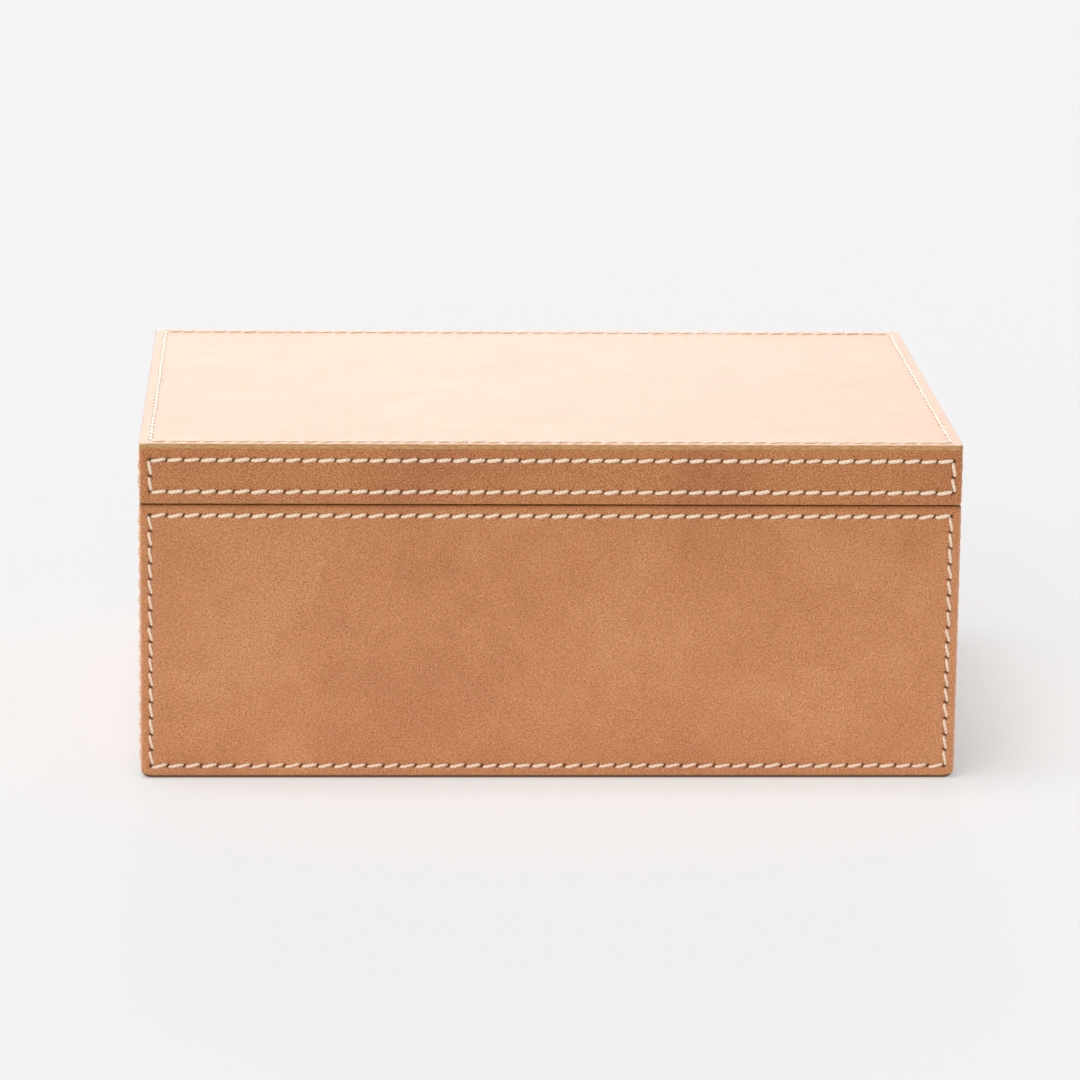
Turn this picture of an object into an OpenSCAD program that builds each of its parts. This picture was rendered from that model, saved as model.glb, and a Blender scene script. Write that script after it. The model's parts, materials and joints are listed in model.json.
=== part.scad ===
// Stationery box: boards covered in sewn leather and lined with suede, with a lid hinged at the back.
// Millimetres. X runs to the right, Y to the back and Z up. The origin is under the middle of the box,
// on the surface that the box stands on.

/* [Box] */
// Width of the box over its leather
box_w = 320; // [220:1:420]
// Depth of the box from front to back over its leather
box_d = 236; // [150:1:340]
// Height of the seam between base and lid
base_h = 110; // [50:1:200]
// Height of the lid from the seam to its top
lid_h = 24; // [22:0.5:80]
// Open seam between the leather of the base and of the lid
seam_gap = 0.6; // [0.3:0.1:1.2]
// Angle at which the bevelled back edges stop the lid
open_max = 100; // [90:1:110]

/* [Leather, boards and lining] */
// Thickness of the outer leather
leather_t = 2; // [1.6:0.1:3]
// Thickness of the wall boards
wall_t = 5; // [4.5:0.1:8]
// Thickness of the bottom board and of the top board
flat_t = 4; // [3:0.1:8]
// Depth to which the boards are let into each other
rabbet = 2.5; // [1:0.1:3]
// Thickness of the suede lining
lining_t = 1; // [0.6:0.1:2]
// Thickness of the leather binding on the rims
rim_t = 1.2; // [1.15:0.05:1.6]
// Radius of the edges under the left and right sides
side_foot_r = 3.5; // [1:0.1:4]
// Radius of the edges under the front and the back
front_foot_r = 2; // [1:0.1:4]
// Radius of the edges around the top
top_edge_r = 0.6; // [0.3:0.1:1.2]
// Radius of the upright corners
corner_r = 1; // [0.4:0.1:1.5]

/* [Stitching] */
// Longest step from one sewing hole to the next
stitch_pitch = 6.55; // [5:0.05:9]
// Gap between the ends of two stitches
stitch_gap = 1.7; // [1.7:0.1:2.4]
// Width of a stitch
thread_w = 1.6; // [1.2:0.1:1.6]
// Height of a stitch over the leather
thread_h = 0.55; // [0.3:0.05:0.6]
// Slant of the stitches in a level row
row_slant = 12; // [0:1:14]
// Slant of the stitches in an upright row
column_slant = 8; // [0:1:10]
// Distance of the upright rows from the edge of their leather
column_inset = 3.6; // [3:0.1:8]
// Distance of the front and back rows on the top from its edge
top_row_inset = 4.6; // [3:0.1:8]
// Distance of the lid's upper row from the top leather
lid_high_inset = 4.5; // [3:0.1:6]
// Distance of the lid's lower row from the seam
lid_low_inset = 5; // [4:0.1:6]
// Distance of the base's upper row from the seam
base_high_inset = 4.5; // [4:0.1:12]
// Distance of the base's lower row from the underside
base_low_inset = 4.9; // [4.9:0.1:12]

/* [Hinges] */
// Length of each hinge
hinge_l = 38; // [26:1:55]
// Distance of each hinge from the end of the box
hinge_end = 40; // [20:1:50]
// Depth of the hinge axis inside the back face
axis_inset = 1; // [0.8:0.1:1.2]
// Radius of the hinge barrel
barrel_r = 2; // [1.8:0.05:2.1]
// Number of knuckles in each hinge
knuckles = 5; // [3:2:7]
// Radius of the hinge pin
pin_r = 0.9; // [0.7:0.05:1]
// Radius of the riveted ends of the hinge pin
pin_head_r = 1.3; // [1.2:0.1:1.6]
// Thickness of the riveted ends of the hinge pin
pin_head_t = 0.4; // [0.2:0.1:0.6]
// Thickness of the hinge leaves
leaf_t = 1; // [0.8:0.05:1.1]
// Board that a leaf leaves bare at its inner edge
leaf_margin = 0.5; // [0.3:0.1:0.6]
// Number of screws in each leaf
leaf_screws = 3; // [2:1:3]
// Distance of the outer screws from the ends of a leaf
screw_end = 6; // [4:0.5:9]
// Radius of the screw shank
screw_r = 0.75; // [0.5:0.05:0.9]
// Radius of the screw head
screw_head_r = 1.3; // [1.1:0.05:1.35]
// Depth of the cone under the screw head
screw_head_t = 0.7; // [0.5:0.05:0.75]
// Length of the screws
screw_l = 8; // [5:0.5:12]
// Width and depth of the slot in the screw head
screw_slot = 0.35; // [0.2:0.05:0.45]

/* [Clearances] */
// Running clearance between the pin and the lid's knuckles
pin_clear = 0.05; // [0.03:0.01:0.09]
// Clearance around the barrel in boards, leathers and leaves
barrel_clear = 0.3; // [0.25:0.05:0.4]
// Gap between two knuckles
knuckle_gap = 0.2; // [0.1:0.05:0.3]
// Clearance around the leaves in the rim binding
leaf_clear = 0.2; // [0.1:0.05:0.3]
// Clearance around the screws
screw_clear = 0.04; // [0.02:0.01:0.08]

/* [Hidden] */
$fn = 64;

leather_colour = [0.80, 0.57, 0.41];
rim_colour = [0.72, 0.50, 0.34];
board_colour = [0.74, 0.62, 0.46];
lining_colour = [0.83, 0.74, 0.62];
thread_colour = [0.92, 0.87, 0.78];
brass_colour = [0.80, 0.65, 0.32];

// Faces between the layers of a wall, from the outside in: leather, board, lining, hollow
half_w = box_w / 2;
half_d = box_d / 2;
board_x = half_w - leather_t;
board_y = half_d - leather_t;
core_x = board_x - wall_t;
core_y = board_y - wall_t;
hollow_x = core_x - lining_t;
hollow_y = core_y - lining_t;
// Levels of the base from the underside up
floor_board_z = leather_t + flat_t;
floor_z = floor_board_z + lining_t;
base_rim_z = base_h - rim_t;
base_edge_z = base_h - seam_gap / 2;
// Levels of the lid from the seam up
lid_edge_z = base_h + seam_gap / 2;
lid_rim_z = base_h + rim_t;
top_z = base_h + lid_h;
lid_wall_z = top_z - leather_t;
top_board_z = lid_wall_z - flat_t;
ceiling_z = top_board_z - lining_t;
// Hinges: the axis runs along X in the middle of the seam
axis_y = half_d - axis_inset;
hinge_x = half_w - hinge_end - hinge_l / 2;
barrel_room_r = barrel_r + barrel_clear;
barrel_room_l = hinge_l + 2 * (pin_head_t + barrel_clear);
knuckle_l = (hinge_l - (knuckles - 1) * knuckle_gap) / knuckles;
leaf_y = core_y + leaf_margin;
screw_y = (leaf_y + axis_y - barrel_room_r) / 2;
bevel_rise = axis_inset * tan(open_max / 2);
// Radius of the arc over a stitch, from its width and height
stitch_arc_r = (pow(thread_w / 2, 2) + pow(thread_h, 2)) / (2 * thread_h);
// Cuts run past the faces that they leave by this much
past = 1;

// Distances of the screws from the middle of a leaf
function screw_places() = [
    for (i = [0 : leaf_screws - 1])
        (hinge_l - 2 * screw_end) * (i / (leaf_screws - 1) - 0.5)];

// A box from its lowest corner to its highest
module block(low, high) {
    translate(low)
        cube(high - low);
}

// A rectangle centred on the origin with round corners
module round_plate(w, d, r) {
    square([w - 2 * r, d], center = true);
    square([w, d - 2 * r], center = true);
    for (x = [-1, 1], y = [-1, 1])
        translate([x * (w / 2 - r), y * (d / 2 - r)])
            circle(r);
}

// The outline of the box from one side, with its own radius at the foot and at the top
module side_outline(w, foot_r) {
    translate([-w / 2, foot_r])
        square([w, top_z - foot_r - top_edge_r]);
    translate([-w / 2 + foot_r, 0])
        square([w - 2 * foot_r, top_z / 2]);
    translate([-w / 2 + top_edge_r, top_z / 2])
        square([w - 2 * top_edge_r, top_z / 2]);
    for (x = [-1, 1]) {
        translate([x * (w / 2 - foot_r), foot_r])
            circle(foot_r);
        translate([x * (w / 2 - top_edge_r), top_z - top_edge_r])
            circle(top_edge_r);
    }
}

// The outer form of the closed box: its plan and its two outlines carried through each other
module outer_form() {
    intersection() {
        linear_extrude(top_z)
            round_plate(box_w, box_d, corner_r);
        translate([0, half_d + past, 0])
            rotate([90, 0, 0])
                linear_extrude(box_d + 2 * past)
                    side_outline(box_w, side_foot_r);
        translate([-half_w - past, 0, 0])
            rotate([90, 0, 90])
                linear_extrude(box_w + 2 * past)
                    side_outline(box_d, front_foot_r);
    }
}

// Moves what lies under the plane z = 0 to under the seam, or mirrors it to over the seam for the lid
module at_seam(lid) {
    translate([0, 0, base_h])
        mirror([0, 0, lid ? 1 : 0])
            children();
}

// A copy at each of the two hinges
module at_hinges() {
    for (side = [-1, 1])
        translate([side * hinge_x, 0, 0])
            children();
}

// A copy at each screw of a leaf
module at_screws() {
    for (x = screw_places())
        translate([x, screw_y, leaf_t - rim_t])
            children();
}

// A cylinder along X on the hinge axis, at the height of the seam
module axis_cylinder(r, x, l) {
    translate([x, axis_y, 0])
        rotate([0, 90, 0])
            cylinder(r = r, h = l);
}

// The room for both barrels in boards, leathers and bindings
module barrel_room() {
    at_seam(false)
        at_hinges()
            axis_cylinder(barrel_room_r, -barrel_room_l / 2, barrel_room_l);
}

// The screw holes under the leaves, for the base or for the lid
module screw_room(lid) {
    at_seam(lid)
        at_hinges()
            at_screws()
                translate([0, 0, -screw_l - screw_clear])
                    cylinder(r = screw_r + screw_clear, h = screw_l + screw_clear + past);
}

// The wedge that lets the back edges pass each other while the lid opens. It widens from the axis
// to the back face by half of the opening angle in the base, and as much in the lid.
module back_bevel(lid) {
    at_seam(lid)
        translate([-half_w - past, axis_y, 0])
            rotate([90, 0, 90])
                linear_extrude(box_w + 2 * past)
                    polygon([
                        [0, past],
                        [0, -seam_gap / 2],
                        [2 * axis_inset, -seam_gap / 2 - 2 * bevel_rise],
                        [2 * axis_inset, past]]);
}

// Front or back board: side is -1 for the front and 1 for the back. rim_z is its free edge and shut_z
// the edge at the bottom or top board. Its inner face is cut back for the side boards at the ends
// and for the flat board along its shut edge.
module long_board(side, rim_z, shut_z) {
    inward = rim_z > shut_z ? 1 : -1;
    low_z = min(rim_z, shut_z);
    high_z = max(rim_z, shut_z);
    mirror([0, side < 0 ? 1 : 0, 0])
        difference() {
            block([-board_x, core_y, low_z], [board_x, board_y, high_z]);
            for (x = [-board_x - past, core_x])
                block([x, core_y - past, low_z - past],
                    [x + wall_t + past, core_y + rabbet, high_z + past]);
            block([-board_x, core_y - past, min(shut_z - inward * past, shut_z + inward * flat_t)],
                [board_x, core_y + rabbet, max(shut_z - inward * past, shut_z + inward * flat_t)]);
        }
}

// Left or right board, let into the long boards at its ends: side is -1 for the left
module short_board(side, rim_z, shut_z) {
    inward = rim_z > shut_z ? 1 : -1;
    end_y = core_y + rabbet;
    mirror([side < 0 ? 1 : 0, 0, 0])
        difference() {
            block([core_x, -end_y, min(rim_z, shut_z)], [board_x, end_y, max(rim_z, shut_z)]);
            block([core_x - past, -end_y - past, min(shut_z - inward * past, shut_z + inward * flat_t)],
                [core_x + rabbet, end_y + past, max(shut_z - inward * past, shut_z + inward * flat_t)]);
        }
}

// Bottom or top board, let into all four walls
module flat_board(low_z) {
    block([-core_x - rabbet, -core_y - rabbet, low_z], [core_x + rabbet, core_y + rabbet, low_z + flat_t]);
}

// Front or back leather over the full width, between two levels
module long_leather(side, low_z, high_z) {
    intersection() {
        outer_form();
        mirror([0, side < 0 ? 1 : 0, 0])
            block([-half_w, board_y, low_z], [half_w, half_d, high_z]);
    }
}

// Left or right leather between the front and the back leather
module short_leather(side, low_z, high_z) {
    intersection() {
        outer_form();
        mirror([side < 0 ? 1 : 0, 0, 0])
            block([board_x, -board_y, low_z], [half_w, board_y, high_z]);
    }
}

// Strip along the front or the back, from an inner face out to another, over the width between walls
module long_strip(side, x, inner_y, outer_y, low_z, high_z) {
    mirror([0, side < 0 ? 1 : 0, 0])
        block([-x, inner_y, low_z], [x, outer_y, high_z]);
}

// Strip along the left or the right side, between the long strips
module short_strip(side, inner_x, outer_x, low_z, high_z) {
    mirror([side < 0 ? 1 : 0, 0, 0])
        block([inner_x, -hollow_y, low_z], [outer_x, hollow_y, high_z]);
}

// The rim binding of the back wall, with pockets for the two leaves
module back_rim(low_z, high_z) {
    difference() {
        long_strip(1, board_x, hollow_y, board_y, low_z, high_z);
        at_hinges()
            block([-hinge_l / 2 - leaf_clear, leaf_y - leaf_clear, low_z - past],
                [hinge_l / 2 + leaf_clear, board_y + past, high_z + past]);
        barrel_room();
    }
}

// One stitch along X, a flat bow of thread lying on the plane z = 0
module stitch(l) {
    translate([-l / 2, 0, 0])
        rotate([90, 0, 90])
            linear_extrude(l)
                intersection() {
                    translate([0, thread_h - stitch_arc_r])
                        circle(stitch_arc_r);
                    translate([-thread_w / 2, 0])
                        square([thread_w, thread_h]);
                }
}

// A row of equal stitches along X, centred on the origin, each turned by slant
module stitch_row(l, slant) {
    count = ceil(l / stitch_pitch);
    step = l / count;
    for (i = [0 : count - 1])
        translate([(i + 0.5) * step - l / 2, 0, 0])
            rotate([0, 0, slant])
                stitch(step - stitch_gap);
}

// Two level rows and two upright rows around a panel
module stitch_ring(w, h) {
    for (y = [-h / 2, h / 2])
        translate([0, y, 0])
            stitch_row(w, row_slant);
    for (x = [-w / 2, w / 2])
        translate([x, 0, 0])
            rotate([0, 0, 90])
                stitch_row(h, column_slant);
}

// Stitches around a wall panel between two levels. turn is 0 for the front, 90 for the right side,
// 180 for the back and 270 for the left side; out is the distance of the panel from the middle.
module wall_stitching(turn, out, panel_w, low_z, high_z) {
    rotate([0, 0, turn])
        translate([0, -out, (low_z + high_z) / 2])
            rotate([90, 0, 0])
                stitch_ring(panel_w - 2 * column_inset, high_z - low_z);
}

module base_stitching(turn, out, panel_w) {
    wall_stitching(turn, out, panel_w, base_low_inset, base_h - base_high_inset);
}

module lid_stitching(turn, out, panel_w) {
    wall_stitching(turn, out, panel_w, base_h + lid_low_inset, lid_wall_z - lid_high_inset);
}

// A screw pointing down from the plane z = 0, or the room for it when it is grown
module screw_form(grow) {
    translate([0, 0, -screw_l - grow])
        cylinder(r = screw_r + grow, h = screw_l + grow);
    translate([0, 0, -screw_head_t])
        cylinder(r1 = screw_r + grow, r2 = screw_head_r + grow, h = screw_head_t);
}

// The screws of both hinges, for the base or for the lid
module hinge_screws(lid) {
    at_seam(lid)
        at_hinges()
            at_screws()
                difference() {
                    screw_form(0);
                    block([-screw_head_r - past, -screw_slot / 2, -screw_slot],
                        [screw_head_r + past, screw_slot / 2, past]);
                }
}

// The knuckles of one leaf, grown by a clearance for the room of the other leaf's knuckles
module knuckle_set(first, grow) {
    for (i = [first : 2 : knuckles - 1])
        axis_cylinder(barrel_r + grow,
            -hinge_l / 2 + i * (knuckle_l + knuckle_gap) - (grow > 0 ? knuckle_gap : 0),
            knuckle_l + (grow > 0 ? 2 * knuckle_gap : 0));
}

// One leaf with its knuckles, at the middle of the seam. The base has the knuckles at the ends.
module hinge_leaf(lid) {
    at_seam(lid)
        difference() {
            union() {
                difference() {
                    block([-hinge_l / 2, leaf_y, -rim_t], [hinge_l / 2, axis_y, leaf_t - rim_t]);
                    knuckle_set(lid ? 0 : 1, barrel_clear);
                }
                knuckle_set(lid ? 1 : 0, 0);
            }
            axis_cylinder(lid ? pin_r + pin_clear : pin_r, -hinge_l / 2 - past, hinge_l + 2 * past);
            at_screws()
                screw_form(screw_clear);
        }
}

// The pin, fast in the base leaf, with a riveted end on each side
module hinge_pin() {
    at_seam(false) {
        axis_cylinder(pin_r, -hinge_l / 2, hinge_l);
        axis_cylinder(pin_head_r, -hinge_l / 2 - pin_head_t, pin_head_t);
        axis_cylinder(pin_head_r, hinge_l / 2, pin_head_t);
    }
}

// Boards of the base
module base_bottom_board() {
    color(board_colour)
        flat_board(leather_t);
}

module base_front_board() {
    color(board_colour)
        long_board(-1, base_rim_z, leather_t);
}

module base_back_board() {
    color(board_colour)
        difference() {
            long_board(1, base_rim_z, leather_t);
            barrel_room();
            screw_room(false);
        }
}

module base_left_board() {
    color(board_colour)
        short_board(-1, base_rim_z, leather_t);
}

module base_right_board() {
    color(board_colour)
        short_board(1, base_rim_z, leather_t);
}

// Leathers of the base
module base_bottom_leather() {
    color(leather_colour)
        intersection() {
            outer_form();
            block([-board_x, -board_y, 0], [board_x, board_y, leather_t]);
        }
}

module base_front_leather() {
    color(leather_colour)
        long_leather(-1, 0, base_edge_z);
}

module base_back_leather() {
    color(leather_colour)
        difference() {
            long_leather(1, 0, base_edge_z);
            barrel_room();
            back_bevel(false);
        }
}

module base_left_leather() {
    color(leather_colour)
        short_leather(-1, 0, base_edge_z);
}

module base_right_leather() {
    color(leather_colour)
        short_leather(1, 0, base_edge_z);
}

// Lining of the base
module base_floor_lining() {
    color(lining_colour)
        block([-core_x, -core_y, floor_board_z], [core_x, core_y, floor_z]);
}

module base_front_lining() {
    color(lining_colour)
        long_strip(-1, core_x, hollow_y, core_y, floor_z, base_rim_z);
}

module base_back_lining() {
    color(lining_colour)
        long_strip(1, core_x, hollow_y, core_y, floor_z, base_rim_z);
}

module base_left_lining() {
    color(lining_colour)
        short_strip(-1, hollow_x, core_x, floor_z, base_rim_z);
}

module base_right_lining() {
    color(lining_colour)
        short_strip(1, hollow_x, core_x, floor_z, base_rim_z);
}

// Rim binding of the base
module base_front_rim() {
    color(rim_colour)
        long_strip(-1, board_x, hollow_y, board_y, base_rim_z, base_h);
}

module base_back_rim() {
    color(rim_colour)
        back_rim(base_rim_z, base_h);
}

module base_left_rim() {
    color(rim_colour)
        short_strip(-1, hollow_x, board_x, base_rim_z, base_h);
}

module base_right_rim() {
    color(rim_colour)
        short_strip(1, hollow_x, board_x, base_rim_z, base_h);
}

// Stitching of the base
module base_front_stitching() {
    color(thread_colour)
        base_stitching(0, half_d, box_w);
}

module base_back_stitching() {
    color(thread_colour)
        base_stitching(180, half_d, box_w);
}

module base_left_stitching() {
    color(thread_colour)
        base_stitching(270, half_w, 2 * board_y);
}

module base_right_stitching() {
    color(thread_colour)
        base_stitching(90, half_w, 2 * board_y);
}

// Boards of the lid
module lid_top_board() {
    color(board_colour)
        flat_board(top_board_z);
}

module lid_front_board() {
    color(board_colour)
        long_board(-1, lid_rim_z, lid_wall_z);
}

module lid_back_board() {
    color(board_colour)
        difference() {
            long_board(1, lid_rim_z, lid_wall_z);
            barrel_room();
            screw_room(true);
        }
}

module lid_left_board() {
    color(board_colour)
        short_board(-1, lid_rim_z, lid_wall_z);
}

module lid_right_board() {
    color(board_colour)
        short_board(1, lid_rim_z, lid_wall_z);
}

// Leathers of the lid
module lid_top_leather() {
    color(leather_colour)
        intersection() {
            outer_form();
            block([-half_w, -half_d, lid_wall_z], [half_w, half_d, top_z]);
        }
}

module lid_front_leather() {
    color(leather_colour)
        long_leather(-1, lid_edge_z, lid_wall_z);
}

module lid_back_leather() {
    color(leather_colour)
        difference() {
            long_leather(1, lid_edge_z, lid_wall_z);
            barrel_room();
            back_bevel(true);
        }
}

module lid_left_leather() {
    color(leather_colour)
        short_leather(-1, lid_edge_z, lid_wall_z);
}

module lid_right_leather() {
    color(leather_colour)
        short_leather(1, lid_edge_z, lid_wall_z);
}

// Lining of the lid
module lid_ceiling_lining() {
    color(lining_colour)
        block([-core_x, -core_y, ceiling_z], [core_x, core_y, top_board_z]);
}

module lid_front_lining() {
    color(lining_colour)
        long_strip(-1, core_x, hollow_y, core_y, lid_rim_z, ceiling_z);
}

module lid_back_lining() {
    color(lining_colour)
        long_strip(1, core_x, hollow_y, core_y, lid_rim_z, ceiling_z);
}

module lid_left_lining() {
    color(lining_colour)
        short_strip(-1, hollow_x, core_x, lid_rim_z, ceiling_z);
}

module lid_right_lining() {
    color(lining_colour)
        short_strip(1, hollow_x, core_x, lid_rim_z, ceiling_z);
}

// Rim binding of the lid
module lid_front_rim() {
    color(rim_colour)
        long_strip(-1, board_x, hollow_y, board_y, base_h, lid_rim_z);
}

module lid_back_rim() {
    color(rim_colour)
        back_rim(base_h, lid_rim_z);
}

module lid_left_rim() {
    color(rim_colour)
        short_strip(-1, hollow_x, board_x, base_h, lid_rim_z);
}

module lid_right_rim() {
    color(rim_colour)
        short_strip(1, hollow_x, board_x, base_h, lid_rim_z);
}

// Stitching of the lid
module lid_top_stitching() {
    color(thread_colour)
        translate([0, 0, top_z])
            stitch_ring(box_w - 2 * column_inset, box_d - 2 * top_row_inset);
}

module lid_front_stitching() {
    color(thread_colour)
        lid_stitching(0, half_d, box_w);
}

module lid_back_stitching() {
    color(thread_colour)
        lid_stitching(180, half_d, box_w);
}

module lid_left_stitching() {
    color(thread_colour)
        lid_stitching(270, half_w, 2 * board_y);
}

module lid_right_stitching() {
    color(thread_colour)
        lid_stitching(90, half_w, 2 * board_y);
}

// Hinges
module left_hinge_base_leaf() {
    color(brass_colour)
        translate([-hinge_x, 0, 0])
            hinge_leaf(false);
}

module right_hinge_base_leaf() {
    color(brass_colour)
        translate([hinge_x, 0, 0])
            hinge_leaf(false);
}

module left_hinge_lid_leaf() {
    color(brass_colour)
        translate([-hinge_x, 0, 0])
            hinge_leaf(true);
}

module right_hinge_lid_leaf() {
    color(brass_colour)
        translate([hinge_x, 0, 0])
            hinge_leaf(true);
}

module left_hinge_pin() {
    color(brass_colour)
        translate([-hinge_x, 0, 0])
            hinge_pin();
}

module right_hinge_pin() {
    color(brass_colour)
        translate([hinge_x, 0, 0])
            hinge_pin();
}

module base_hinge_screws() {
    color(brass_colour)
        hinge_screws(false);
}

module lid_hinge_screws() {
    color(brass_colour)
        hinge_screws(true);
}

base_bottom_board();
base_front_board();
base_back_board();
base_left_board();
base_right_board();
base_bottom_leather();
base_front_leather();
base_back_leather();
base_left_leather();
base_right_leather();
base_floor_lining();
base_front_lining();
base_back_lining();
base_left_lining();
base_right_lining();
base_front_rim();
base_back_rim();
base_left_rim();
base_right_rim();
base_front_stitching();
base_back_stitching();
base_left_stitching();
base_right_stitching();
lid_top_board();
lid_front_board();
lid_back_board();
lid_left_board();
lid_right_board();
lid_top_leather();
lid_front_leather();
lid_back_leather();
lid_left_leather();
lid_right_leather();
lid_ceiling_lining();
lid_front_lining();
lid_back_lining();
lid_left_lining();
lid_right_lining();
lid_front_rim();
lid_back_rim();
lid_left_rim();
lid_right_rim();
lid_top_stitching();
lid_front_stitching();
lid_back_stitching();
lid_left_stitching();
lid_right_stitching();
left_hinge_base_leaf();
right_hinge_base_leaf();
left_hinge_lid_leaf();
right_hinge_lid_leaf();
left_hinge_pin();
right_hinge_pin();
base_hinge_screws();
lid_hinge_screws();
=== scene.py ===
import json
import math

import bpy
import numpy as np
from mathutils import Matrix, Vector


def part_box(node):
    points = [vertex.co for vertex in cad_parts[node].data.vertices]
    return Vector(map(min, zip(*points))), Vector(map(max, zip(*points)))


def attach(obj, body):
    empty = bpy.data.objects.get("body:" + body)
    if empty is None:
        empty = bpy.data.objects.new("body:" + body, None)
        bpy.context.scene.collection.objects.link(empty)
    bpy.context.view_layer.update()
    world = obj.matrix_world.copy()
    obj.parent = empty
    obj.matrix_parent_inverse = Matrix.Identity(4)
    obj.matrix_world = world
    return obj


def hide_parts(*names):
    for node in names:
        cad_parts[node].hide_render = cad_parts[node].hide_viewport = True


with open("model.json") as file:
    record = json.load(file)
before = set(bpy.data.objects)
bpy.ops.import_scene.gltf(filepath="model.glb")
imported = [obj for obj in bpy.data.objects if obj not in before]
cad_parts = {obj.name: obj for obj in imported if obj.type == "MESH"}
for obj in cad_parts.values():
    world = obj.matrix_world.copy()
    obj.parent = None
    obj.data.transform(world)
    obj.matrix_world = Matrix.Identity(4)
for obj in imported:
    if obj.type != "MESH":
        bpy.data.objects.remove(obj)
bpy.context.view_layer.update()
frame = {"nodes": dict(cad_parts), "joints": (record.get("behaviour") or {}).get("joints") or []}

mm = 0.001
print("stage: frame loaded, {} nodes".format(len(frame["nodes"])))


# Camera, at the place from which the photograph shows the closed box

cameraView = {
    "azimuth": 2.5753,     # degrees; the camera stands a little to the left of the middle
    "elevation": 13.0068,
    "roll": 0.6735,
    "distance": 2.1801,    # metres to the target
    "target": (0.00087, 0.0, 0.06873),
    "lens": 176.30,
    "sensor": 36.0,
}


def makeCamera(view):
    azimuth, elevation, roll = (math.radians(view[key]) for key in ("azimuth", "elevation", "roll"))
    forward = np.array([
        math.sin(azimuth) * math.cos(elevation),
        math.cos(azimuth) * math.cos(elevation),
        -math.sin(elevation)])
    level = np.array([math.cos(azimuth), -math.sin(azimuth), 0.0])
    above = np.cross(level, forward)
    right = math.cos(roll) * level + math.sin(roll) * above
    up = -math.sin(roll) * level + math.cos(roll) * above
    place = np.array(view["target"]) - forward * view["distance"]
    camera = bpy.data.objects.new("camera", bpy.data.cameras.new("camera"))
    camera.data.lens = view["lens"]
    camera.data.sensor_width = view["sensor"]
    turn = np.identity(4)
    turn[:3] = np.column_stack([right, up, -forward, place])
    camera.matrix_world = Matrix(turn.tolist())
    bpy.context.scene.collection.objects.link(camera)
    bpy.context.scene.camera = camera


makeCamera(cameraView)
bpy.context.scene.view_settings.view_transform = "Standard"
print("stage: camera set")


# Helpers for shader nodes

def addNode(tree, kind, inputs=None, **settings):
    node = tree.nodes.new(kind)
    for key, value in settings.items():
        setattr(node, key, value)
    for key, value in (inputs or {}).items():
        if isinstance(value, bpy.types.NodeSocket):
            tree.links.new(value, node.inputs[key])
        else:
            node.inputs[key].default_value = value
    return node


def useGroup(tree, group, inputs):
    return addNode(tree, "ShaderNodeGroup", inputs, node_tree=group).outputs


def objectPlace(tree):
    return addNode(tree, "ShaderNodeTexCoord").outputs["Object"]


def stretched(tree, place, scale):
    return addNode(tree, "ShaderNodeMapping", {"Vector": place, "Scale": scale}).outputs[0]


def attribute(tree, name):
    return addNode(tree, "ShaderNodeAttribute", attribute_name=name).outputs["Fac"]


def calc(tree, operation, *values, clamp=False):
    node = addNode(tree, "ShaderNodeMath", dict(enumerate(values)), operation=operation, use_clamp=clamp)
    return node.outputs[0]


def blend(tree, share, first, second, mode="MIX"):
    node = addNode(tree, "ShaderNodeMix", {0: share, 6: first, 7: second}, data_type="RGBA", blend_type=mode)
    return node.outputs[2]


# A mask that goes from 0 at low to 1 at high
def ramp(tree, value, low, high):
    node = addNode(tree, "ShaderNodeMapRange", {"Value": value, "From Min": low, "From Max": high},
                   interpolation_type="SMOOTHSTEP")
    return node.outputs["Result"]


# A value from low, where the mask is 0, to high, where it is 1
def between(tree, mask, low, high):
    return calc(tree, "MULTIPLY_ADD", mask, high - low, low)


# A noise whose settings are its scale, detail, roughness and, if it is distorted, by how much
def noise(tree, place, scale, detail, roughness, distortion=0.0):
    node = addNode(tree, "ShaderNodeTexNoise", {
        "Vector": place, "Scale": scale, "Detail": detail, "Roughness": roughness,
        "Distortion": distortion})
    return node.outputs["Fac"]


# 1 for rays from the camera, also by way of a glossy or a clear surface, and 0 for all other rays
def seenByCamera(tree):
    path = addNode(tree, "ShaderNodeLightPath").outputs
    seen = calc(tree, "ADD", path["Is Camera Ray"], path["Is Glossy Ray"], clamp=True)
    return calc(tree, "ADD", seen, path["Is Transmission Ray"], clamp=True)


# A colour written as it is seen, 0 to 255, as the shader's linear colour
def tint(red, green, blue):
    levels = [value / 255 for value in (red, green, blue)]
    return tuple(
        level / 12.92 if level <= 0.04045 else ((level + 0.055) / 1.055) ** 2.4
        for level in levels) + (1.0,)


def newGroup(name, inputs, outputs):
    group = bpy.data.node_groups.new(name, "ShaderNodeTree")
    for label, kind, value in inputs:
        socket = group.interface.new_socket(name=label, in_out="INPUT", socket_type=kind)
        if value is not None:
            socket.default_value = value
    for label, kind in outputs:
        group.interface.new_socket(name=label, in_out="OUTPUT", socket_type=kind)
    return group, group.nodes.new("NodeGroupInput").outputs, group.nodes.new("NodeGroupOutput").inputs


def newMaterial(name):
    material = bpy.data.materials.new(name)
    material.use_nodes = True
    material.node_tree.nodes.clear()
    return material, material.node_tree


# Principled surface with a bump, whose settings are its strength and its reach in metres
def finishMaterial(tree, inputs, height, bump):
    strength, reach = bump
    bumped = addNode(tree, "ShaderNodeBump", {"Height": height, "Strength": strength, "Distance": reach})
    shader = addNode(tree, "ShaderNodeBsdfPrincipled", dict(inputs, Normal=bumped.outputs["Normal"]))
    addNode(tree, "ShaderNodeOutputMaterial", {"Surface": shader.outputs["BSDF"]})


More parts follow.
